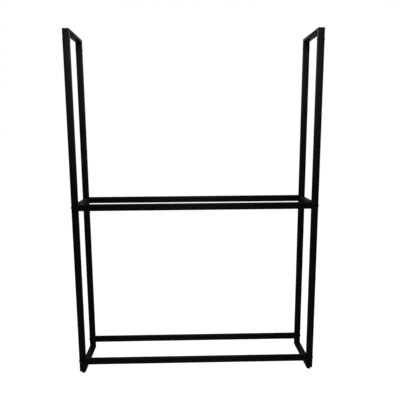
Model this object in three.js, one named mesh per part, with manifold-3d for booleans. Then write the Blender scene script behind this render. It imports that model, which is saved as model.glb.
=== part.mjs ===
// Firewood log rack, in millimetres, +Z up, front towards -Y, origin on the floor under the middle.
// Two welded side frames of rectangular tube stand on levelling feet and are bolted to four cross rails.
import * as THREE from "three";
import { mergeVertices } from "three/addons/utils/BufferGeometryUtils.js";
import Module from "manifold-3d";

const wasm = await Module();
wasm.setup();

// Overall sizes.
const rackWidth = 1100; // outer face to outer face of the side frames
const rackDepth = 255; // front face to rear face of the posts
const frameHeight = 1535; // side frame alone, without its feet
const frameLift = 12; // the feet hold the side frames this far off the floor

// Rectangular tube: wide across the side frames and up the cross rails, thin the other way.
const tubeWide = 30;
const tubeThin = 15;
const tubeWall = 1.5;
const tubeCorner = 2.5; // outer corner radius
const mitreGap = 0.3; // clear gap between two mitred ends, measured square to the cut

// Heights above the bottom of the side frame.
const shelfHeight = 778; // centre of the shelf rails and of the side frames' middle rails
const baseHeight = 48; // centre of the base rails
const spareDrop = 48; // centre of the spare holes, down from the top of the side frame

// Button-head bolts and the threaded inserts that take them.
const boltRadius = 3;
const boltHoleRadius = 3.25;
const boltLength = 45;
const boltHeadRadius = 5.25;
const boltHeadHeight = 3.3;
const boltHeadRim = 0.5; // straight edge under the head's dome
const boltSocketFlats = 4;
const boltSocketDepth = 2;
const boltTipChamfer = 0.5;
const insertLength = 16;
const insertCorner = 1.5;
const insertBoreRadius = 3.05;

// Domed plugs that close the spare holes.
const plugCapRadius = 5;
const plugCapHeight = 2;
const plugCapRim = 0.4;
const plugStemRadius = 3.2;
const plugStemLength = 7;
const plugStemTip = 2.2; // radius of the stem's narrow end

// Levelling feet: a plastic pad on a steel stud that screws into a nut in the bottom rail.
const footInset = 16; // foot axis, in from the front and rear faces of the side frame
const padRadius = 9.5;
const padHeight = 10.5;
const padEdge = 3; // rounding of the pad's lower edge
const padNeckRadius = 7.5;
const padNeckHeight = 2;
const padSocketDepth = 6;
const studRadius = 4;
const studTop = 25; // above the floor with the foot screwed right in
const studChamfer = 0.8;
const nutBoreRadius = 4.05;
const nutBodyRadius = 5.5;
const nutHoleRadius = 5.55;
const nutBulgeRadius = 6.8;
const nutBulgeHeight = 2.6;
const nutFlangeRadius = 7.5;
const nutTop = 24; // above the floor

const roundSegments = 16;
const domeSteps = 3;
const halfWide = tubeWide / 2;
const halfThin = tubeThin / 2;
const postX = rackWidth / 2 - halfWide;
const postY = rackDepth / 2 - halfThin;
const footY = rackDepth / 2 - footInset;
const sides = [["left", -1], ["right", 1]];
const ends = [["front", -1], ["rear", 1]];
const levels = [["shelf", shelfHeight], ["base", baseHeight]];

const coat = new THREE.MeshStandardMaterial({ color: 0x17181a, roughness: 0.55, metalness: 0.2 });
const oxide = new THREE.MeshStandardMaterial({ color: 0x1d1d1f, roughness: 0.42, metalness: 0.85 });
const zinc = new THREE.MeshStandardMaterial({ color: 0xa9adb2, roughness: 0.35, metalness: 0.9 });
const plastic = new THREE.MeshStandardMaterial({ color: 0x121213, roughness: 0.65, metalness: 0 });

// Turns a closed geometry into a solid, dropping the empty triangles at a turned piece's poles.
function solidOf(geometry) {
  const bare = geometry.index ? geometry.toNonIndexed() : geometry.clone();
  bare.deleteAttribute("normal");
  bare.deleteAttribute("uv");
  const merged = mergeVertices(bare, 1e-4);
  const index = merged.index.array;
  const triangles = [];
  for (let i = 0; i < index.length; i += 3) {
    const [a, b, c] = [index[i], index[i + 1], index[i + 2]];
    if (a !== b && b !== c && c !== a) triangles.push(a, b, c);
  }
  const vertProperties = new Float32Array(merged.attributes.position.array);
  const triVerts = new Uint32Array(triangles);
  return new wasm.Manifold(new wasm.Mesh({ numProp: 3, vertProperties, triVerts }));
}

// One named mesh from a solid, placed with its own origin at [x, y, z].
function piece(name, solid, material, x, y, z) {
  const data = solid.getMesh();
  const indexed = new THREE.BufferGeometry();
  indexed.setAttribute("position", new THREE.BufferAttribute(data.vertProperties.slice(), 3));
  indexed.setIndex(new THREE.BufferAttribute(data.triVerts.slice(), 1));
  const geometry = indexed.toNonIndexed();
  geometry.computeVertexNormals();
  const mesh = new THREE.Mesh(geometry, material);
  mesh.name = name;
  mesh.position.set(x, y, z);
  return mesh;
}

// Outline of the tube's section drawn in by an inset, with rounded corners, centred on the origin.
function sectionOutline(outline, inset, radius) {
  const x = halfWide - inset - radius;
  const y = halfThin - inset - radius;
  outline.absarc(x, y, radius, 0, Math.PI / 2, false);
  outline.absarc(-x, y, radius, Math.PI / 2, Math.PI, false);
  outline.absarc(-x, -y, radius, Math.PI, Math.PI * 1.5, false);
  outline.absarc(x, -y, radius, Math.PI * 1.5, Math.PI * 2, false);
  outline.closePath();
  return outline;
}

// Extrudes an outline along Z from zero.
function extruded(shape, depth) {
  return new THREE.ExtrudeGeometry(shape, { depth, bevelEnabled: false, curveSegments: 1 });
}

// Tube of a length along Z from zero, wide along X and thin along Y.
function tube(length) {
  const section = sectionOutline(new THREE.Shape(), 0, tubeCorner);
  section.holes.push(sectionOutline(new THREE.Path(), tubeWall, tubeCorner - tubeWall));
  return extruded(section, length);
}

// A solid wider than any tube along X, with its outline given as [y, z] corners.
function slabAcrossX(corners) {
  const outline = new THREE.Shape(corners.map(([y, z]) => new THREE.Vector2(y, z)));
  const turn = new THREE.Matrix4().makeBasis(
    new THREE.Vector3(0, 1, 0),
    new THREE.Vector3(0, 0, 1),
    new THREE.Vector3(1, 0, 0),
  );
  return solidOf(extruded(outline, 2 * tubeWide).translate(0, 0, -tubeWide).applyMatrix4(turn));
}

// A turned solid about Z from [radius, height] points: up the outside, or round a closed loop.
function turned(points) {
  const profile = points.map(([r, z]) => new THREE.Vector2(r, z));
  return solidOf(new THREE.LatheGeometry(profile, roundSegments).rotateX(Math.PI / 2));
}

// Points of a quarter ellipse from [radius, foot] at its rim up to the axis at [0, top].
function domePoints(radius, foot, top) {
  const points = [];
  for (let i = 0; i <= domeSteps; i++) {
    const angle = (i / domeSteps) * (Math.PI / 2);
    points.push([i < domeSteps ? radius * Math.cos(angle) : 0, foot + (top - foot) * Math.sin(angle)]);
  }
  return points;
}

// Upright post with its inner side towards +Y (inward 1) or -Y (inward -1), mitred at both ends,
// with through holes along X for the bolts and the plugs.
function postSolid(inward) {
  const shift = mitreGap / Math.SQRT2;
  const high = (t) => [inward * t, frameHeight - halfThin - t - shift];
  const low = (t) => [inward * t, halfThin + t + shift];
  const slab = slabAcrossX([low(-tubeThin), low(tubeThin), high(tubeThin), high(-tubeThin)]);
  let post = solidOf(tube(frameHeight)).intersect(slab);
  for (const z of [baseHeight, shelfHeight, frameHeight - spareDrop]) {
    const rod = new THREE.CylinderGeometry(boltHoleRadius, boltHoleRadius, 2 * tubeWide, roundSegments);
    post = post.subtract(solidOf(rod.rotateZ(Math.PI / 2).translate(0, 0, z)));
  }
  return post;
}

// Top rail (up 1) or bottom rail (up -1) of a side frame, along Y, longest on its outer side.
function endRailSolid(up) {
  const half = (t) => rackDepth / 2 - halfThin + t - mitreGap / Math.SQRT2;
  const corner = (side, t) => [side * half(t), up * t];
  const slab = slabAcrossX([
    corner(-1, -tubeThin), corner(1, -tubeThin), corner(1, tubeThin), corner(-1, tubeThin),
  ]);
  const straight = tube(rackDepth).translate(0, 0, -rackDepth / 2).rotateX(Math.PI / 2);
  return solidOf(straight).intersect(slab);
}

// Bottom rail with a hole in its underside for the nut of each foot.
function bottomRailSolid() {
  let rail = endRailSolid(-1);
  for (const [, end] of ends) {
    const rod = new THREE.CylinderGeometry(nutHoleRadius, nutHoleRadius, tubeThin, roundSegments);
    rail = rail.subtract(solidOf(rod.rotateX(Math.PI / 2).translate(0, end * footY, -halfThin)));
  }
  return rail;
}

// Middle rail of a side frame, along Y between the posts.
function midRailSolid() {
  const length = rackDepth - 2 * tubeThin;
  return solidOf(tube(length).translate(0, 0, -length / 2).rotateX(Math.PI / 2));
}

// Cross rail along X between the side frames, standing on its thin side.
function crossRailSolid() {
  const length = rackWidth - 2 * tubeWide;
  return solidOf(tube(length).translate(0, 0, -length / 2).rotateY(Math.PI / 2));
}

// Threaded block that fills a cross rail's end, along X from zero, bored for the bolt.
function insertSolid() {
  const block = extruded(sectionOutline(new THREE.Shape(), tubeWall, insertCorner), insertLength);
  const rod = new THREE.CylinderGeometry(insertBoreRadius, insertBoreRadius, 2 * tubeWide, roundSegments);
  return solidOf(block.rotateY(Math.PI / 2)).subtract(solidOf(rod.rotateZ(Math.PI / 2)));
}

// Button-head bolt with its head towards +X (out 1) or -X (out -1), seated at zero.
function boltSolid(out) {
  const bolt = turned([
    [0, -boltLength],
    [boltRadius - boltTipChamfer, -boltLength],
    [boltRadius, -boltLength + boltTipChamfer],
    [boltRadius, 0],
    [boltHeadRadius, 0],
    ...domePoints(boltHeadRadius, boltHeadRim, boltHeadHeight),
  ]);
  const hexRadius = boltSocketFlats / Math.sqrt(3);
  const hex = new THREE.CylinderGeometry(hexRadius, hexRadius, 2 * boltSocketDepth, 6);
  const socket = solidOf(hex.rotateX(Math.PI / 2).translate(0, 0, boltHeadHeight));
  return bolt.subtract(socket).rotate([0, out * 90, 0]);
}

// Domed plug with its cap towards +X (out 1) or -X (out -1), seated at zero.
function plugSolid(out) {
  return turned([
    [0, -plugStemLength],
    [plugStemTip, -plugStemLength],
    [plugStemRadius, -plugStemLength / 2],
    [plugStemRadius, 0],
    [plugCapRadius, 0],
    ...domePoints(plugCapRadius, plugCapRim, plugCapHeight),
  ]).rotate([0, out * 90, 0]);
}

// Foot pad from the floor up, with a blind socket on top for the stud.
function padSolid() {
  const edge = [];
  for (let i = 0; i <= domeSteps; i++) {
    const angle = (i / domeSteps) * (Math.PI / 2);
    edge.push([padRadius - padEdge + padEdge * Math.sin(angle), padEdge - padEdge * Math.cos(angle)]);
  }
  return turned([
    [0, 0],
    ...edge,
    [padRadius, padHeight - 2 * padNeckHeight],
    [padNeckRadius, padHeight - padNeckHeight],
    [padNeckRadius, padHeight],
    [nutBoreRadius, padHeight],
    [nutBoreRadius, padHeight - padSocketDepth],
    [0, padHeight - padSocketDepth],
  ]);
}

function studSolid() {
  return turned([
    [0, padHeight - padSocketDepth],
    [studRadius, padHeight - padSocketDepth],
    [studRadius, studTop - studChamfer],
    [studRadius - studChamfer, studTop],
    [0, studTop],
  ]);
}

// Nut set into the underside of a bottom rail: flange below the wall, bulge above it.
function nutSolid() {
  const wallTop = frameLift + tubeWall;
  return turned([
    [nutBoreRadius, padHeight],
    [nutFlangeRadius, padHeight],
    [nutFlangeRadius, frameLift],
    [nutBodyRadius, frameLift],
    [nutBodyRadius, wallTop],
    [nutBulgeRadius, wallTop],
    [nutBulgeRadius, wallTop + nutBulgeHeight / 2],
    [nutBodyRadius, wallTop + nutBulgeHeight],
    [nutBodyRadius, nutTop],
    [nutBoreRadius, nutTop],
    [nutBoreRadius, padHeight],
  ]);
}

function sideFrame(name, side) {
  const x = side * postX;
  const midZ = frameLift + shelfHeight;
  const topZ = frameLift + frameHeight - halfThin;
  return [
    ...ends.map(([end, y]) =>
      piece(`${name}_${end}_post`, postSolid(-y), coat, x, y * postY, frameLift)),
    piece(`${name}_top_rail`, endRailSolid(1), coat, x, 0, topZ),
    piece(`${name}_mid_rail`, midRailSolid(), coat, x, 0, midZ),
    piece(`${name}_bottom_rail`, bottomRailSolid(), coat, x, 0, frameLift + halfThin),
  ];
}

// Cross rail at one end and level, with the insert and the bolt of each side.
function crossRail(end, y, level, height) {
  const z = frameLift + height;
  const made = [piece(`${end}_${level}_rail`, crossRailSolid(), coat, 0, y * postY, z)];
  for (const [name, side] of sides) {
    const railEnd = side * (rackWidth / 2 - tubeWide);
    const insertX = side < 0 ? railEnd : railEnd - insertLength;
    made.push(
      piece(`${end}_${level}_rail_${name}_insert`, insertSolid(), zinc, insertX, y * postY, z),
      piece(`${name}_${end}_${level}_bolt`, boltSolid(side), oxide, (side * rackWidth) / 2, y * postY, z),
    );
  }
  return made;
}

// The two plugs in the spare holes of one post.
function sparePlugs(name, side, end, y) {
  const z = frameLift + frameHeight - spareDrop;
  const outerX = (side * rackWidth) / 2;
  const innerX = side * (rackWidth / 2 - tubeWide);
  return [
    piece(`${name}_${end}_outer_plug`, plugSolid(side), plastic, outerX, y * postY, z),
    piece(`${name}_${end}_inner_plug`, plugSolid(-side), plastic, innerX, y * postY, z),
  ];
}

function foot(name, side, end, y) {
  const x = side * postX;
  return [
    piece(`${name}_${end}_foot_pad`, padSolid(), plastic, x, y * footY, 0),
    piece(`${name}_${end}_foot_stud`, studSolid(), zinc, x, y * footY, 0),
    piece(`${name}_${end}_foot_nut`, nutSolid(), zinc, x, y * footY, 0),
  ];
}

const rack = new THREE.Group();
rack.name = "firewood_log_rack";
for (const [name, side] of sides) {
  rack.add(...sideFrame(name, side));
  for (const [end, y] of ends) {
    rack.add(...sparePlugs(name, side, end, y), ...foot(name, side, end, y));
  }
}
for (const [end, y] of ends) {
  for (const [level, height] of levels) rack.add(...crossRail(end, y, level, height));
}

export default rack;
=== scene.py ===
import math

import bpy
from mathutils import Matrix, Vector


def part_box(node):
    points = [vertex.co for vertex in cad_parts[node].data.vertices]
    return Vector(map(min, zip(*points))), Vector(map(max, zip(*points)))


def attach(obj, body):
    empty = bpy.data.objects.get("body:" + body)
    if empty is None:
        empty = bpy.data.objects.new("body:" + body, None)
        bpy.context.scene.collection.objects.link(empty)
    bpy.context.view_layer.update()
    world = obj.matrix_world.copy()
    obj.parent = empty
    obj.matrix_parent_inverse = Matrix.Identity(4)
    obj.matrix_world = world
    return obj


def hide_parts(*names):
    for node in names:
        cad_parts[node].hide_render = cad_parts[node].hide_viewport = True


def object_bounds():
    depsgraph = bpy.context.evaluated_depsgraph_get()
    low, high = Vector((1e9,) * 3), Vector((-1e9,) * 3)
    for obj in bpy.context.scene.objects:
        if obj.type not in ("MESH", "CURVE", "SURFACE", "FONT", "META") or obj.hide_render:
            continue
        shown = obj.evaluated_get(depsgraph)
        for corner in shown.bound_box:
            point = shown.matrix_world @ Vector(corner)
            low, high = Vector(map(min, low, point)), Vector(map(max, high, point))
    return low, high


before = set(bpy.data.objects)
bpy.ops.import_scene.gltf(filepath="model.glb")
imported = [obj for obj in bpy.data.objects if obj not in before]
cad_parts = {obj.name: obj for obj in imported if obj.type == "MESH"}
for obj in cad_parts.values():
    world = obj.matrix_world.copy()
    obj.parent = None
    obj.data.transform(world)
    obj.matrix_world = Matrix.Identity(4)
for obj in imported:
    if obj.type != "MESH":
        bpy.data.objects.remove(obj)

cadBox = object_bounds()
mm = 0.001
sideNames = ("left", "right")
endNames = ("front", "rear")
levelNames = ("shelf", "base")
facing = 0.9  # least part of a direction along an axis for it to count as pointing that way
squareOn = 0.985  # the same for a flat face, which is not a rounding
bevelSteps = 2  # on the small roundings of every edge
alongX = (0, math.pi / 2, 0)  # turns an upright rod to lie along X
print("frame loaded:", len(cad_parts), "nodes")

camera = {
    "place": (-0.0472, -2.1644, 1.1130),
    "yaw": 0.02115,  # radians to the right of straight ahead
    "pitch": 0.16963,  # radians below level
    "roll": -0.00765,
    "focal": 41.767,
    "sensor": 36.0,
    "shift": (0.01338, 0.03146),
}


def makeCamera(values):
    yaw, pitch, roll = values["yaw"], values["pitch"], values["roll"]
    flat = math.cos(pitch)
    ahead = Vector((math.sin(yaw) * flat, math.cos(yaw) * flat, -math.sin(pitch)))
    right = Vector((math.cos(yaw), -math.sin(yaw), 0))
    up = right.cross(ahead)
    rightRolled = right * math.cos(roll) + up * math.sin(roll)
    upRolled = up * math.cos(roll) - right * math.sin(roll)
    data = bpy.data.cameras.new("studioCamera")
    data.sensor_width, data.lens = values["sensor"], values["focal"]
    data.shift_x, data.shift_y = values["shift"]
    item = bpy.data.objects.new("studioCamera", data)
    bpy.context.scene.collection.objects.link(item)
    turn = Matrix((rightRolled, upRolled, -ahead)).transposed().to_4x4()
    item.matrix_world = Matrix.Translation(values["place"]) @ turn
    bpy.context.scene.camera = item


makeCamera(camera)


# Working by hand: what is held, what is picked on it, and the last steps on a piece.
def letGo():
    active = bpy.context.view_layer.objects.active
    if active is not None and active.mode != "OBJECT":
        bpy.ops.object.mode_set(mode="OBJECT")
    bpy.ops.object.select_all(action="DESELECT")


def grab(*pieces):
    letGo()
    for piece in pieces:
        piece.select_set(True)
    bpy.context.view_layer.objects.active = pieces[0]


def openUp(piece, kind):
    grab(piece)
    bpy.ops.object.mode_set(mode="EDIT")
    bpy.ops.mesh.select_mode(type=kind)
    bpy.ops.mesh.select_all(action="DESELECT")
    bpy.ops.object.mode_set(mode="OBJECT")


def pickFaces(piece, test):
    openUp(piece, "FACE")
    for face in piece.data.polygons:
        face.select = test(face.center, face.normal)
    bpy.ops.object.mode_set(mode="EDIT")


def pickEdges(piece, test):
    openUp(piece, "EDGE")
    points = piece.data.vertices
    for edge in piece.data.edges:
        a, b = (points[i].co for i in edge.vertices)
        edge.select = test((a + b) / 2, (b - a).normalized())
    bpy.ops.object.mode_set(mode="EDIT")


def settle(piece, name):
    grab(piece)
    bpy.ops.object.transform_apply(location=True, rotation=True, scale=True)
    piece.name = piece.data.name = name
    return piece


def useModifier(piece, kind, **values):
    grab(piece)
    modifier = piece.modifiers.new(kind.lower(), kind)
    for key, value in values.items():
        setattr(modifier, key, value)
    bpy.ops.object.modifier_apply(modifier=modifier.name)


def softenEdges(piece, width, angle):
    useModifier(piece, "BEVEL", width=width, segments=bevelSteps, limit_method="ANGLE",
                angle_limit=math.radians(angle))


def smooth(piece, angle):
    grab(piece)
    bpy.ops.object.shade_smooth_by_angle(angle=math.radians(angle))
    letGo()


# Marks the faces of roundings and rims, which the finishes show a little rubbed and lighter, a
# painted edge highlight.
def markRoundings(piece):
    mask = piece.data.attributes.new("edgeMask", "FLOAT", "FACE")
    for face, item in zip(piece.data.polygons, mask.data):
        item.value = 0.0 if max(abs(c) for c in face.normal) > squareOn else 1.0


def dress(piece, width, bevelAngle, smoothAngle):
    softenEdges(piece, width, bevelAngle)
    markRoundings(piece)
    smooth(piece, smoothAngle)


def cutAway(piece, cutter):
    useModifier(piece, "BOOLEAN", operation="DIFFERENCE", solver="EXACT", object=cutter)
    bpy.data.objects.remove(cutter)


def rod(radius, depth, place, facets, turn=(0, 0, 0)):
    letGo()
    bpy.ops.mesh.primitive_cylinder_add(vertices=facets, radius=radius, depth=depth,
                                        location=place, rotation=turn)
    return bpy.context.object


# Pulls the picked end face out along an axis in steps of (how far, new radius).
def drawOut(steps, axis, radius, centre):
    for reach, wanted in steps:
        move = [0.0, 0.0, 0.0]
        move[axis] = reach
        bpy.ops.mesh.extrude_region_move(TRANSFORM_OT_translate={"value": move})
        centre = Vector(centre) + Vector(move)
        share = wanted / radius
        scale = [share] * 3
        scale[axis] = 1.0
        bpy.ops.transform.resize(value=scale, center_override=centre)
        radius = wanted


# Steps over a dome that ends in a flat crown.
def domeSteps(radius, height, count, crown):
    steps, previous, whole = [], 0.0, math.acos(crown / radius)
    for i in range(1, count + 1):
        angle = i / count * whole
        reach = height * math.sin(angle) / math.sin(whole)
        steps.append((reach - previous, radius * math.cos(angle)))
        previous = reach
    return steps


# A copy with its own mesh, moved and turned by a matrix.
def twin(piece, name, place):
    made = piece.copy()
    made.data = piece.data.copy()
    made.name = made.data.name = name
    bpy.context.scene.collection.objects.link(made)
    made.data.transform(place)
    return made


def middleOf(node):
    low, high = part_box(node)
    return (low + high) / 2


def finishPiece(piece, material, nodes=(), body="rack"):
    piece.data.materials.clear()
    piece.data.materials.append(material)
    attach(piece, body)
    if nodes:
        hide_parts(*nodes)


# The finishes: shared node groups first, then one material for each finish.
def addNode(tree, kind, inputs=(), **values):
    node = tree.nodes.new(kind)
    for key, value in values.items():
        setattr(node, key, value)
    for key, value in dict(inputs).items():
        if isinstance(value, bpy.types.NodeSocket):
            tree.links.new(value, node.inputs[key])
        else:
            node.inputs[key].default_value = value
    return node


def combine(tree, operation, a, b, clamp=False):
    node = addNode(tree, "ShaderNodeMath", {0: a, 1: b}, operation=operation, use_clamp=clamp)
    return node.outputs[0]


def spread(tree, value, low, high, toLow=0.0, toHigh=1.0):
    node = addNode(tree, "ShaderNodeMapRange", {"Value": value, "From Min": low, "From Max": high,
                                               "To Min": toLow, "To Max": toHigh})
    return node.outputs["Result"]


def startGroup(name, inputs, outputs):
    tree = bpy.data.node_groups.new(name, "ShaderNodeTree")
    for label, value in inputs.items():
        socket = tree.interface.new_socket(name=label, in_out="INPUT",
                                           socket_type="NodeSocketFloat")
        socket.default_value = value
    for label in outputs:
        tree.interface.new_socket(name=label, in_out="OUTPUT", socket_type="NodeSocketFloat")
    return tree, addNode(tree, "NodeGroupInput"), addNode(tree, "NodeGroupOutput")


def addNoise(tree, place, scale, detail, roughness):
    noise = addNode(tree, "ShaderNodeTexNoise", {"Vector": place, "Scale": scale, "Detail": detail,
                                                "Roughness": roughness})
    return noise.outputs["Fac"]


# Fine pebbled texture of a sprayed or moulded surface, and slow cloudiness over it.
grainShape = {
    "fineDetail": 3.0, "fineRoughness": 0.55,
    "pebbleScale": 0.45,  # as a share of the scale of the fine texture
    "broadDetail": 4.0, "broadRoughness": 0.6, "cloudFrom": 0.3, "cloudTo": 0.7,
}


def makeGrainGroup():
    inputs = {"Fine": 900.0, "Broad": 9.0, "Pebble": 0.5}
    tree, ins, outs = startGroup("surfaceGrain", inputs, ("Height", "Cloud"))
    given, shape = ins.outputs, grainShape
    place = addNode(tree, "ShaderNodeTexCoord").outputs["Object"]
    fine = addNoise(tree, place, given["Fine"], shape["fineDetail"], shape["fineRoughness"])
    cells = addNode(tree, "ShaderNodeTexVoronoi", {"Vector": place}, feature="SMOOTH_F1")
    pebbles = combine(tree, "MULTIPLY", given["Fine"], shape["pebbleScale"])
    tree.links.new(pebbles, cells.inputs["Scale"])
    pebble = combine(tree, "MULTIPLY", cells.outputs["Distance"], given["Pebble"])
    tree.links.new(combine(tree, "SUBTRACT", fine, pebble), outs.inputs["Height"])
    broad = addNoise(tree, place, given["Broad"], shape["broadDetail"], shape["broadRoughness"])
    cloud = spread(tree, broad, shape["cloudFrom"], shape["cloudTo"])
    tree.links.new(cloud, outs.inputs["Cloud"])
    return tree


# Where roundings and rims are rubbed and carry a painted edge highlight: the mask on their faces,
# broken up.
rubAndHighlightShape = {"detail": 5.0, "roughness": 0.65, "rubAndHighlightFrom": 0.42, "rubAndHighlightTo": 0.72}


def makeRubAndHighlightGroup():
    tree, ins, outs = startGroup("edgeRubAndHighlight", {"Amount": 0.5, "Breakup": 60.0}, ("Mask",))
    given, shape = ins.outputs, rubAndHighlightShape
    place = addNode(tree, "ShaderNodeTexCoord").outputs["Object"]
    rims = addNode(tree, "ShaderNodeAttribute", attribute_name="edgeMask").outputs["Fac"]
    noise = addNoise(tree, place, given["Breakup"], shape["detail"], shape["roughness"])
    wearAndHighlight = spread(tree, noise, shape["rubAndHighlightFrom"], shape["rubAndHighlightTo"])
    rubbedAndHighlighted = combine(tree, "MULTIPLY", rims, wearAndHighlight)
    mask = combine(tree, "MULTIPLY", rubbedAndHighlighted, given["Amount"], True)
    tree.links.new(mask, outs.inputs["Mask"])
    return tree


# Dust that settles on what faces up, and painted top light: upward faces are painted lighter as if
# lit from above.
dustAndTopLightShape = {
    "facingFrom": 0.55, "facingTo": 0.98, "detail": 6.0, "roughness": 0.7,
    "patchFrom": 0.3, "patchTo": 0.75, "thinnest": 0.35,
}


def makeDustAndTopLightGroup():
    tree, ins, outs = startGroup("settledDustAndTopLight", {"Amount": 0.3, "Patches": 30.0}, ("Mask",))
    given, shape = ins.outputs, dustAndTopLightShape
    place = addNode(tree, "ShaderNodeTexCoord").outputs["Object"]
    normal = addNode(tree, "ShaderNodeNewGeometry").outputs["Normal"]
    upward = addNode(tree, "ShaderNodeSeparateXYZ", {0: normal}).outputs["Z"]
    level = spread(tree, upward, shape["facingFrom"], shape["facingTo"])
    noise = addNoise(tree, place, given["Patches"], shape["detail"], shape["roughness"])
    patches = spread(tree, noise, shape["patchFrom"], shape["patchTo"], shape["thinnest"], 1.0)
    settledAndTopLit = combine(tree, "MULTIPLY", level, patches)
    mask = combine(tree, "MULTIPLY", settledAndTopLit, given["Amount"], True)
    tree.links.new(mask, outs.inputs["Mask"])
    return tree


grainGroup, rubAndHighlightGroup, dustAndTopLightGroup = makeGrainGroup(), makeRubAndHighlightGroup(), makeDustAndTopLightGroup()


def placeGroup(tree, group, **values):
    node = addNode(tree, "ShaderNodeGroup", node_tree=group)
    for key, value in values.items():
        node.inputs[key].default_value = value
    return node


def mixColour(tree, share, first, second):
    node = addNode(tree, "ShaderNodeMix", data_type="RGBA", blend_type="MIX")
    tree.links.new(share, node.inputs["Factor"])
    for socket, value in ((node.inputs["A"], first), (node.inputs["B"], second)):
        if isinstance(value, bpy.types.NodeSocket):
            tree.links.new(value, socket)
        else:
            socket.default_value = (*value, 1.0)
    return node.outputs["Result"]


rubShine = 0.12  # roughness that rubbing takes off
dustDulling = 0.3  # roughness that dust adds


def makeFinish(name, look):
    material = bpy.data.materials.new(name)
    material.use_nodes = True
    tree = material.node_tree
    shader = tree.nodes["Principled BSDF"]
    for key, value in look["sockets"].items():
        shader.inputs[key].default_value = value
    grain = placeGroup(tree, grainGroup, **look["grain"])
    rubAndHighlight = placeGroup(tree, rubAndHighlightGroup, **look["rubAndHighlight"])
    dustAndTopLight = placeGroup(tree, dustAndTopLightGroup, **look["dustAndTopLight"])
    cloud = grain.outputs["Cloud"]
    body = mixColour(tree, cloud, look["dark"], look["light"])
    # Rubbed edges and painted edge highlight: roundings are painted lighter towards the bare
    # colour.
    wearAndHighlight = mixColour(tree, rubAndHighlight.outputs["Mask"], body, look["bare"])
    # Dust and painted top light: faces that point up are painted lighter.
    dustyAndTopLit = mixColour(tree, dustAndTopLight.outputs["Mask"], wearAndHighlight, look["dustAndTopLightColour"])
    tree.links.new(dustyAndTopLit, shader.inputs["Base Color"])
    low, high = look["roughness"]
    rough = spread(tree, cloud, 0.0, 1.0, low, high)
    shine = combine(tree, "MULTIPLY", rubAndHighlight.outputs["Mask"], rubShine)
    dulling = combine(tree, "MULTIPLY", dustAndTopLight.outputs["Mask"], dustDulling)
    rough = combine(tree, "ADD", combine(tree, "SUBTRACT", rough, shine), dulling, True)
    tree.links.new(rough, shader.inputs["Roughness"])
    bump = addNode(tree, "ShaderNodeBump", {"Strength": look["bump"], "Distance": look["bumpDepth"],
                                           "Height": grain.outputs["Height"]})
    tree.links.new(bump.outputs["Normal"], shader.inputs["Normal"])
    return material


coatLook = {
    "dark": (0.0030, 0.0031, 0.0033), "light": (0.0052, 0.0053, 0.0056),
    # bare: colour of rubbed edges, which also serves as a painted edge highlight on the roundings.
    # dustAndTopLightColour: dust on upward faces, which also serves as painted light from above.
    "bare": (0.030, 0.030, 0.031), "dustAndTopLightColour": (0.11, 0.105, 0.098),
    "roughness": (0.46, 0.60), "bump": 0.35, "bumpDepth": 0.12 * mm,
    "grain": {"Fine": 750.0, "Broad": 7.0, "Pebble": 0.7},
    "rubAndHighlight": {"Amount": 0.15, "Breakup": 55.0}, "dustAndTopLight": {"Amount": 0.04, "Patches": 28.0},
    "sockets": {"Metallic": 0.0, "Specular IOR Level": 0.32},
}
oxideLook = {
    "dark": (0.016, 0.016, 0.018), "light": (0.030, 0.030, 0.032),
    "bare": (0.16, 0.16, 0.165), "dustAndTopLightColour": (0.11, 0.105, 0.098),
    "roughness": (0.34, 0.50), "bump": 0.2, "bumpDepth": 0.05 * mm,
    "grain": {"Fine": 1800.0, "Broad": 260.0, "Pebble": 0.2},
    "rubAndHighlight": {"Amount": 0.8, "Breakup": 400.0}, "dustAndTopLight": {"Amount": 0.08, "Patches": 90.0},
    "sockets": {"Metallic": 0.85},
}
zincLook = {
    "dark": (0.42, 0.43, 0.45), "light": (0.62, 0.63, 0.66),
    "bare": (0.75, 0.75, 0.76), "dustAndTopLightColour": (0.2, 0.19, 0.17),
    "roughness": (0.26, 0.46), "bump": 0.2, "bumpDepth": 0.05 * mm,
    "grain": {"Fine": 1500.0, "Broad": 180.0, "Pebble": 0.3},
    "rubAndHighlight": {"Amount": 0.5, "Breakup": 300.0}, "dustAndTopLight": {"Amount": 0.08, "Patches": 90.0},
    "sockets": {"Metallic": 1.0},
}
plasticLook = {
    "dark": (0.0060, 0.0060, 0.0062), "light": (0.0095, 0.0095, 0.0100),
    "bare": (0.030, 0.030, 0.030), "dustAndTopLightColour": (0.12, 0.115, 0.105),
    "roughness": (0.50, 0.64), "bump": 0.3, "bumpDepth": 0.06 * mm,
    "grain": {"Fine": 2200.0, "Broad": 120.0, "Pebble": 0.6},
    "rubAndHighlight": {"Amount": 0.5, "Breakup": 300.0}, "dustAndTopLight": {"Amount": 0.12, "Patches": 120.0},
    "sockets": {"Metallic": 0.0, "Specular IOR Level": 0.4},
}
coatFinish = makeFinish("blackPowderCoat", coatLook)
oxideFinish = makeFinish("blackOxideSteel", oxideLook)
zincFinish = makeFinish("zincPlatedSteel", zincLook)
plasticFinish = makeFinish("mouldedBlackPlastic", plasticLook)
print("finishes made")


# Rectangular tube, drawn as a hollow shell and cut to its mitres and holes.
tube = {
    "wall": 1.5 * mm,
    "corner": 2.5 * mm,
    "cornerSteps": 6,
    "softEdge": 0.25 * mm,
    "bevelAngle": 40,
    "smoothAngle": 35,
    "boltHole": 3.25 * mm,
    "boltDrill": 50 * mm,
    "nutHole": 5.55 * mm,
    "nutDrill": 20 * mm,
    "drillFacets": 32,
    "spare": 5 * mm,  # cut off again by a mitre
}


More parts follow.
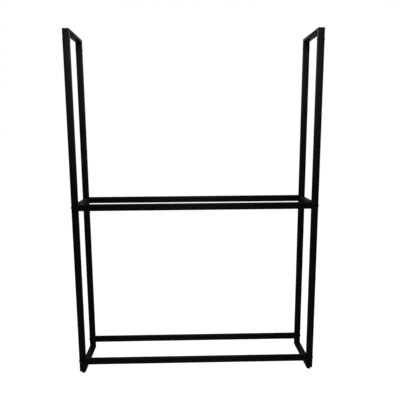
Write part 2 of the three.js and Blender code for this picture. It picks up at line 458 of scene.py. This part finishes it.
def tubeShell(name, low, high):
    size = high - low
    along = max(range(3), key=lambda i: size[i])
    letGo()
    bpy.ops.mesh.primitive_cube_add(size=1, location=(low + high) / 2)
    piece = bpy.context.object
    piece.scale = size
    settle(piece, name)
    pickEdges(piece, lambda middle, run: abs(run[along]) > facing)
    bpy.ops.mesh.bevel(offset=tube["corner"], segments=tube["cornerSteps"], affect="EDGES")
    pickFaces(piece, lambda middle, normal: abs(normal[along]) > facing)
    bpy.ops.mesh.delete(type="ONLY_FACE")
    useModifier(piece, "SOLIDIFY", thickness=tube["wall"], offset=-1, use_even_offset=True)
    return piece


# Cuts right through at a point and drops what lies on the side that away points to.
def mitre(piece, point, away):
    grab(piece)
    bpy.ops.object.mode_set(mode="EDIT")
    bpy.ops.mesh.select_all(action="SELECT")
    bpy.ops.mesh.bisect(plane_co=point, plane_no=away, use_fill=True, clear_outer=True)
    letGo()


def drill(piece, spots, radius, depth, turn=(0, 0, 0)):
    drills = [rod(radius, depth, spot, tube["drillFacets"], turn) for spot in spots]
    grab(*drills)
    if len(drills) > 1:
        bpy.ops.object.join()
    cutAway(piece, drills[0])


def finishTube(piece, node):
    dress(piece, tube["softEdge"], tube["bevelAngle"], tube["smoothAngle"])
    finishPiece(piece, coatFinish, [node])


def sideFrameBox(side):
    postLow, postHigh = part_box(f"{side}_front_post")[0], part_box(f"{side}_rear_post")[1]
    bottom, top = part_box(f"{side}_bottom_rail")[0].z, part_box(f"{side}_top_rail")[1].z
    return Vector((postLow.x, postLow.y, bottom)), Vector((postHigh.x, postHigh.y, top))


def makePost(side, end):
    node = f"{side}_{end}_post"
    low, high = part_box(node)
    frameLow, frameHigh = sideFrameBox(side)
    inward = 1 if end == "front" else -1
    outer = low.y if end == "front" else high.y
    piece = tubeShell(node + "_tube", Vector((low.x, low.y, frameLow.z - tube["spare"])),
                      Vector((high.x, high.y, frameHigh.z + tube["spare"])))
    mitre(piece, (0, outer, frameHigh.z), (0, inward, 1))
    mitre(piece, (0, outer, frameLow.z), (0, inward, -1))
    held = [f"{side}_{end}_shelf_bolt", f"{side}_{end}_base_bolt", f"{side}_{end}_outer_plug"]
    centre = (low + high) / 2
    spots = [(centre.x, centre.y, middleOf(name).z) for name in held]
    drill(piece, spots, tube["boltHole"], tube["boltDrill"], alongX)
    finishTube(piece, node)


def makeEndRail(side, which):
    node = f"{side}_{which}_rail"
    low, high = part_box(node)
    frameLow, frameHigh = sideFrameBox(side)
    up = 1 if which == "top" else -1
    level = frameHigh.z if which == "top" else frameLow.z
    piece = tubeShell(node + "_tube", Vector((low.x, frameLow.y - tube["spare"], low.z)),
                      Vector((high.x, frameHigh.y + tube["spare"], high.z)))
    mitre(piece, (0, frameLow.y, level), (0, -1, -up))
    mitre(piece, (0, frameHigh.y, level), (0, 1, -up))
    if which == "bottom":
        nuts = [middleOf(f"{side}_{end}_foot_nut") for end in endNames]
        spots = [(middle.x, middle.y, level) for middle in nuts]
        drill(piece, spots, tube["nutHole"], tube["nutDrill"])
    finishTube(piece, node)


def makePlainRail(node):
    finishTube(tubeShell(node + "_tube", *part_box(node)), node)


for side in sideNames:
    for end in endNames:
        makePost(side, end)
    makeEndRail(side, "top")
    makeEndRail(side, "bottom")
    makePlainRail(f"{side}_mid_rail")
for end in endNames:
    for level in levelNames:
        makePlainRail(f"{end}_{level}_rail")
print("tubes made")


# Weld beads in the inside corners of the side frames.
bead = {
    "radius": 2.4 * mm, "ripples": 16, "length": 25 * mm, "facets": 14,
    "depth": 0.16,  # of the dips between ripples, as a share of the radius
    "endShare": 0.45, "growth": 0.2,  # radius at the ends, and how fast it grows from there
    "smoothAngle": 80,
    "turn": 37,  # degrees between one bead and the next, so that no two look alike
}


def makeBead():
    step = bead["length"] / (2 * bead["ripples"])
    endRadius, end = bead["radius"] * bead["endShare"], -bead["length"] / 2
    start = rod(endRadius, step, (end + step / 2, 0, 0), bead["facets"], alongX)
    piece = settle(start, "beadMaster")
    pickFaces(piece, lambda middle, normal: normal.x > facing)
    steps = []
    count = 2 * bead["ripples"]
    for i in range(1, count):
        ease = min(1.0, bead["endShare"] + bead["growth"] * min(i, count - i))
        wave = 1.0 if i % 2 else 1.0 - bead["depth"]
        steps.append((step, bead["radius"] * ease * wave))
    drawOut(steps, 0, endRadius, (end + step, 0, 0))
    smooth(piece, bead["smoothAngle"])
    return piece


def placeBeads(master):
    count = 0
    for side in sideNames:
        frameLow, frameHigh = sideFrameBox(side)
        x = (frameLow.x + frameHigh.x) / 2
        railLow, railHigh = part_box(f"{side}_top_rail")
        midLow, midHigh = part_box(f"{side}_mid_rail")
        thick = railHigh.z - railLow.z
        heights = {"bottom": frameLow.z + thick, "midUnder": midLow.z, "midTop": midHigh.z,
                   "top": frameHigh.z - thick}
        for end, y in (("front", frameLow.y + thick), ("rear", frameHigh.y - thick)):
            for spot, z in heights.items():
                turn = Matrix.Rotation(math.radians(bead["turn"] * count), 4, "X")
                name = f"{side}_{end}_{spot}_weld"
                piece = twin(master, name, Matrix.Translation((x, y, z)) @ turn)
                finishPiece(piece, coatFinish)
                count += 1
    bpy.data.objects.remove(master)


placeBeads(makeBead())
print("weld beads made")


# Bolts and plugs are modelled with the head towards +X and the seat at zero.
# This makes the head, and leaves the root of the shank picked.
def startHead(values, name):
    radius, rim = values["headRadius"], values["rim"]
    piece = settle(rod(radius, rim, (rim / 2, 0, 0), values["facets"], alongX), name)
    pickFaces(piece, lambda middle, normal: normal.x > facing)
    dome = domeSteps(radius, values["headHeight"] - rim, values["domeSteps"], values["crown"])
    drawOut(dome, 0, radius, (rim, 0, 0))
    pickFaces(piece, lambda middle, normal: normal.x < -facing)
    bpy.ops.mesh.inset(thickness=radius - values["shank"])
    return piece


# Button-head bolts.
bolt = {
    "headRadius": 5.25 * mm, "headHeight": 3.3 * mm, "rim": 0.5 * mm, "crown": 2.8 * mm,
    "shank": 3 * mm, "length": 45 * mm, "chamfer": 0.5 * mm,
    "socketAcross": 4 * mm, "socketDepth": 2 * mm, "socketSides": 6,
    "facets": 48, "domeSteps": 7,
    "softEdge": 0.12 * mm, "bevelAngle": 32, "smoothAngle": 30,
    "turn": 23,  # degrees between one bolt's socket and the next
}


def makeBolt():
    piece = startHead(bolt, "boltMaster")
    straight = bolt["length"] - bolt["chamfer"]
    drawOut([(-straight, bolt["shank"]), (-bolt["chamfer"], bolt["shank"] - bolt["chamfer"])],
            0, bolt["shank"], (0, 0, 0))
    socket = rod(bolt["socketAcross"] / math.sqrt(3), 2 * bolt["socketDepth"],
                 (bolt["headHeight"], 0, 0), bolt["socketSides"], alongX)
    cutAway(piece, socket)
    dress(piece, bolt["softEdge"], bolt["bevelAngle"], bolt["smoothAngle"])
    return piece


def placeBolts(master):
    count = 0
    for side in sideNames:
        for end in endNames:
            for level in levelNames:
                node = f"{side}_{end}_{level}_bolt"
                low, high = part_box(node)
                seat = low.x + bolt["headHeight"] if side == "left" else high.x - bolt["headHeight"]
                outward = Matrix.Rotation(math.pi if side == "left" else 0, 4, "Z")
                spun = Matrix.Rotation(math.radians(bolt["turn"] * count), 4, "X")
                middle = (low + high) / 2
                place = Matrix.Translation((seat, middle.y, middle.z)) @ outward @ spun
                made = twin(master, node + "_m6", place)
                finishPiece(made, oxideFinish, [node])
                count += 1
    bpy.data.objects.remove(master)


placeBolts(makeBolt())
print("bolts made")


# Domed plugs.
plug = {
    "headRadius": 5 * mm, "headHeight": 2 * mm, "rim": 0.4 * mm, "crown": 0.6 * mm,
    "shank": 3.2 * mm, "length": 7 * mm, "tip": 2.2 * mm, "facets": 48, "domeSteps": 8,
    "softEdge": 0.12 * mm, "bevelAngle": 32, "smoothAngle": 30,
}


def makePlug():
    piece = startHead(plug, "plugMaster")
    half = plug["length"] / 2
    drawOut([(-half, plug["shank"]), (-half, plug["tip"])], 0, plug["shank"], (0, 0, 0))
    dress(piece, plug["softEdge"], plug["bevelAngle"], plug["smoothAngle"])
    return piece


def placePlugs(master):
    for side in sideNames:
        for end in endNames:
            for face in ("outer", "inner"):
                node = f"{side}_{end}_{face}_plug"
                low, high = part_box(node)
                towardRight = (side == "right") == (face == "outer")
                seat = high.x - plug["headHeight"] if towardRight else low.x + plug["headHeight"]
                outward = Matrix.Rotation(0 if towardRight else math.pi, 4, "Z")
                middle = (low + high) / 2
                place = Matrix.Translation((seat, middle.y, middle.z)) @ outward
                made = twin(master, node + "_cap", place)
                finishPiece(made, plasticFinish, [node])
    bpy.data.objects.remove(master)


placePlugs(makePlug())
print("plugs made")


# Levelling feet, modelled about the Z axis with the floor at zero. Heights are above the floor.
pad = {
    "sole": 6.5 * mm, "soleHeight": 0.2 * mm, "radius": 9.5 * mm, "facets": 48,
    "edge": 3 * mm, "edgeSteps": 6, "leastStep": 0.1 * mm,
    "shoulder": 6.5 * mm, "neck": 7.5 * mm, "neckFoot": 8.5 * mm, "top": 10.5 * mm,
    "flute": 0.5 * mm, "fluteRim": 0.15 * mm, "fluteBand": 0.6 * mm,
    "fluteEvery": 22.5, "fluteWidth": 11,  # degrees round the pad
    "softEdge": 0.1 * mm, "bevelAngle": 35, "smoothAngle": 30,
}


def makePad():
    sole = rod(pad["sole"], pad["soleHeight"], (0, 0, pad["soleHeight"] / 2), pad["facets"])
    piece = settle(sole, "padMaster")
    pickFaces(piece, lambda middle, normal: normal.z > facing)
    steps, last = [], pad["soleHeight"]
    for i in range(1, pad["edgeSteps"] + 1):
        angle = i / pad["edgeSteps"] * math.pi / 2
        height = max(last + pad["leastStep"], pad["edge"] * (1 - math.cos(angle)))
        steps.append((height - last, pad["sole"] + pad["edge"] * math.sin(angle)))
        last = height
    steps.append((pad["shoulder"] - last, pad["radius"]))
    steps.append((pad["neckFoot"] - pad["shoulder"], pad["neck"]))
    steps.append((pad["top"] - pad["neckFoot"], pad["neck"]))
    drawOut(steps, 2, pad["sole"], (0, 0, pad["soleHeight"]))
    band = (pad["edge"] + pad["shoulder"]) / 2

    def onFlute(middle, normal):
        turn = math.degrees(math.atan2(middle.y, middle.x)) % pad["fluteEvery"]
        return abs(middle.z - band) < pad["fluteBand"] and turn < pad["fluteWidth"]

    pickFaces(piece, onFlute)
    bpy.ops.mesh.inset(thickness=pad["fluteRim"], depth=-pad["flute"])
    dress(piece, pad["softEdge"], pad["bevelAngle"], pad["smoothAngle"])
    return piece


stud = {
    "radius": 4 * mm, "core": 3.35 * mm, "foot": 4.5 * mm, "top": 25 * mm, "lead": 0.5 * mm,
    "endMargin": 0.4 * mm, "facets": 32, "smoothAngle": 30,
    "pitch": 1.25 * mm, "slope": 0.45, "crest": 0.10,  # shares of the pitch
}


def makeStud():
    radius, core, height = stud["radius"], stud["core"], stud["foot"] + stud["lead"]
    start = rod(radius, stud["lead"], (0, 0, stud["foot"] + stud["lead"] / 2), stud["facets"])
    piece = settle(start, "studMaster")
    pickFaces(piece, lambda middle, normal: normal.z > facing)
    slope, crest = stud["pitch"] * stud["slope"], stud["pitch"] * stud["crest"]
    foot, steps = height, []
    while height + stud["pitch"] < stud["top"] - stud["endMargin"]:
        steps += [(slope, core), (slope, radius), (crest, radius)]
        height += stud["pitch"]
    steps.append((stud["top"] - height, core))
    drawOut(steps, 2, radius, (0, 0, foot))
    smooth(piece, stud["smoothAngle"])
    return piece


# The nut set into the bottom rail: a flange under the rail's wall, a bulge above it, and a bore.
nut = {
    "flange": 7.5 * mm, "body": 5.5 * mm, "bulge": 6.8 * mm, "bulgeEdge": 0.1 * mm, "facets": 48,
    "foot": 10.5 * mm, "wallFoot": 12 * mm, "wallTop": 13.5 * mm, "bulgeTop": 16.1 * mm,
    "top": 24 * mm,
    "bore": 4.05 * mm, "boreDepth": 40 * mm, "boreMiddle": 16 * mm, "boreFacets": 32,
    "softEdge": 0.12 * mm, "bevelAngle": 35, "smoothAngle": 30,
}


def makeNut():
    flange = rod(nut["flange"], nut["wallFoot"] - nut["foot"],
                 (0, 0, (nut["wallFoot"] + nut["foot"]) / 2), nut["facets"])
    piece = settle(flange, "nutMaster")
    pickFaces(piece, lambda middle, normal: normal.z > facing)
    bpy.ops.mesh.inset(thickness=nut["flange"] - nut["body"])
    rise = (nut["bulgeTop"] - nut["wallTop"]) / 2
    rest = nut["top"] - nut["bulgeTop"] - nut["bulgeEdge"]
    steps = [(nut["wallTop"] - nut["wallFoot"], nut["body"]), (nut["bulgeEdge"], nut["bulge"]),
             (rise, nut["bulge"]), (rise, nut["body"]), (rest, nut["body"])]
    drawOut(steps, 2, nut["body"], (0, 0, nut["wallFoot"]))
    letGo()
    cutAway(piece, rod(nut["bore"], nut["boreDepth"], (0, 0, nut["boreMiddle"]), nut["boreFacets"]))
    dress(piece, nut["softEdge"], nut["bevelAngle"], nut["smoothAngle"])
    return piece


def placeFeet(padMaster, studMaster, nutMaster):
    for side in sideNames:
        for end in endNames:
            name = f"{side}_{end}_foot"
            centre = middleOf(name + "_pad")
            place = Matrix.Translation((centre.x, centre.y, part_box(name + "_pad")[0].z))
            glide = twin(padMaster, name + "_glide", place)
            thread = twin(studMaster, name + "_thread", place)
            rivetNut = twin(nutMaster, name + "_rivet_nut", place)
            finishPiece(glide, plasticFinish, [name + "_pad"], name)
            finishPiece(thread, zincFinish, [name + "_stud"], name)
            finishPiece(rivetNut, zincFinish, [name + "_nut"])
    for master in (padMaster, studMaster, nutMaster):
        bpy.data.objects.remove(master)


placeFeet(makePad(), makeStud(), makeNut())
print("feet made")

# The inserts in the rail ends are the only CAD nodes that stay. The pieces above replace the rest.
for node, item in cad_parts.items():
    item.data.materials.clear()
    item.data.materials.append(zincFinish if node.endswith("_insert") else coatFinish)


# The studio: a pale floor that meets an equally pale backdrop, and soft lamps.
studio = {
    "floorSize": 400.0, "floorColour": (0.4, 0.4, 0.4, 1), "floorGlow": 1.0,
    "floorRoughness": 0.9, "floorCells": 8,
    "surround": 0.045, "backdropGlow": 1.0,  # as the rack sees it, and as the camera does
    "lights": {
        "overhead": {"place": (0.0, 0.0, 1.85), "aim": (0, 0, 0.9), "size": (0.3, 0.4), "power": 6},
        "frontKey": {"place": (0.0, -1.6, 2.2), "aim": (0, 0, 1.3), "size": (1.8, 0.8), "power": 8},
        "lowFill": {"place": (0.0, -0.95, 0.3), "aim": (0, 0, 0.2), "size": (0.6, 0.2),
                    "power": 0.35},
        "rearHigh": {"place": (0.0, 2.6, 2.1), "aim": (0, 0, 1.45), "size": (1.2, 0.5),
                     "power": 2.5},
        "rearLeft": {"place": (-1.2, 2.8, 0.95), "aim": (-0.5, 0, 1.5), "size": (0.4, 0.4),
                     "power": 0.9},
        "rearRight": {"place": (1.3, 2.8, 0.95), "aim": (0.5, 0, 1.5), "size": (0.4, 0.4),
                      "power": 0.9},
    },
}


def makeFloor():
    letGo()
    cells = studio["floorCells"]
    bpy.ops.mesh.primitive_grid_add(x_subdivisions=cells, y_subdivisions=cells,
                                    size=studio["floorSize"], location=(0, 0, cadBox[0].z))
    floor = settle(bpy.context.object, "studioFloor")
    material = bpy.data.materials.new("paleFloor")
    material.use_nodes = True
    tree = material.node_tree
    shader = tree.nodes["Principled BSDF"]
    shader.inputs["Base Color"].default_value = studio["floorColour"]
    shader.inputs["Roughness"].default_value = studio["floorRoughness"]
    shader.inputs["Specular IOR Level"].default_value = 0.0
    shader.inputs["Emission Color"].default_value = (1, 1, 1, 1)
    seen = addNode(tree, "ShaderNodeLightPath").outputs["Is Camera Ray"]
    glow = combine(tree, "MULTIPLY", seen, studio["floorGlow"])
    tree.links.new(glow, shader.inputs["Emission Strength"])
    floor.data.materials.append(material)


def makeLight(name, values):
    data = bpy.data.lights.new(name, "AREA")
    data.shape = "RECTANGLE"
    data.size, data.size_y = values["size"]
    data.energy = values["power"]
    item = bpy.data.objects.new(name, data)
    bpy.context.scene.collection.objects.link(item)
    item.location = values["place"]
    aim = Vector(values["aim"]) - Vector(values["place"])
    item.rotation_euler = aim.to_track_quat("-Z", "Y").to_euler()
    item.visible_camera = False


def makeSurround():
    world = bpy.data.worlds.new("studioWorld")
    bpy.context.scene.world = world
    world.use_nodes = True
    tree = world.node_tree
    seen = addNode(tree, "ShaderNodeLightPath").outputs["Is Camera Ray"]
    level = spread(tree, seen, 0, 1, studio["surround"], studio["backdropGlow"])
    tree.links.new(level, tree.nodes["Background"].inputs["Strength"])
    tree.nodes["Background"].inputs["Color"].default_value = (1, 1, 1, 1)


makeFloor()
for name, values in studio["lights"].items():
    makeLight(name, values)
makeSurround()
bpy.context.scene.view_settings.view_transform = "Standard"
print("studio made")

letGo()
